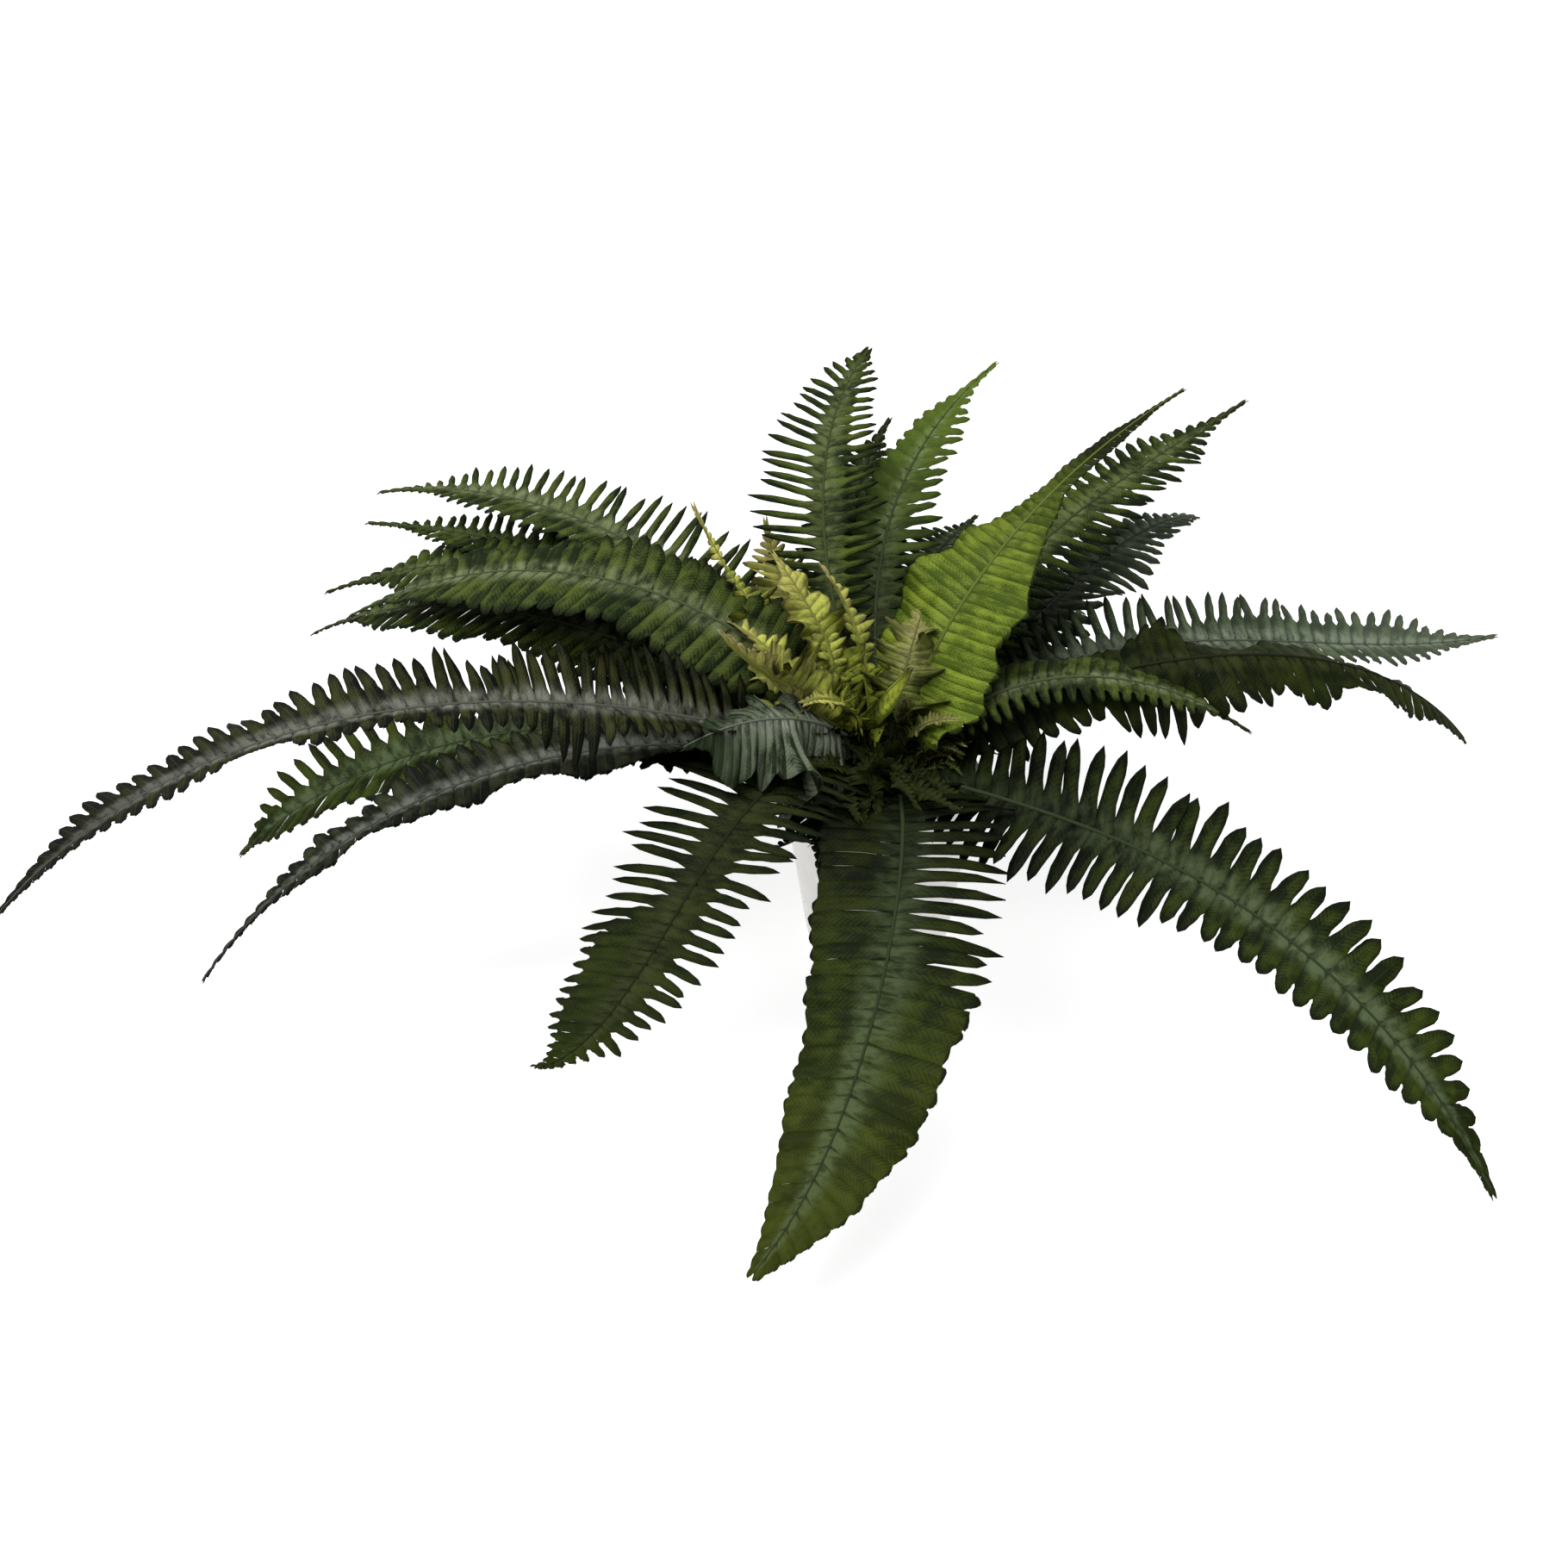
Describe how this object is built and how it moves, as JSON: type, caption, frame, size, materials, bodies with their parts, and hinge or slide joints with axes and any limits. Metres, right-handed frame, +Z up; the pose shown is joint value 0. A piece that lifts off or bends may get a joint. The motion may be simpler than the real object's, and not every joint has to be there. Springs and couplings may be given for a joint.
{
  "type": "potted fern",
  "caption": "Bushy fern with long arching pinnate fronds that spring from a low scaly crown, growing in soil in a plain round tapered pot with a rim band",
  "frame": {"origin": "centre of the flat underside of the pot, on the surface it stands on", "axes": "+Z up along the pot's axis; -Y towards the viewer of the picture, where the broad front frond hangs down; +X to the right of the picture"},
  "size_m": [0.8459, 0.6602, 0.2815],
  "materials": {
    "pot_glaze": "plain off-white glaze, smooth with a soft gloss",
    "soil": "dark crumbly potting soil, dull and damp",
    "crown_scales": "brown fibrous rhizome covered with dry scales",
    "leaf": "mid to dark green leathery leaf with a grey-blue sheen along the midrib",
    "leaf_bright": "yellow-green leaf, thin and lit through, with a soft sheen",
    "leaf_young": "young leaf, yellow-green turning tan, slightly downy"
  },
  "bodies": {
    "root": {"pot": "pot_glaze", "soil": "soil", "crown": "crown_scales", "frond_front": "leaf", "frond_front_right": "leaf", "frond_front_left": "leaf", "frond_inner_front": "leaf", "frond_left_long": "leaf", "frond_left_1": "leaf", "frond_left_2": "leaf", "frond_left_3": "leaf", "frond_left_4": "leaf", "frond_left_5": "leaf", "frond_left_6": "leaf", "frond_left_7": "leaf", "frond_right_1": "leaf", "frond_right_2": "leaf", "frond_right_3": "leaf", "frond_upper_1": "leaf_bright", "frond_upper_2": "leaf_bright", "frond_upper_3": "leaf", "frond_top_1": "leaf", "frond_top_2": "leaf_bright", "frond_top_3": "leaf", "frond_top_4": "leaf", "young_frond_1": "leaf_young", "young_frond_2": "leaf_young", "young_frond_3": "leaf_young", "frond_back_1": "leaf", "frond_back_2": "leaf", "frond_back_3": "leaf", "frond_back_4": "leaf"}
  },
  "joints": []
}
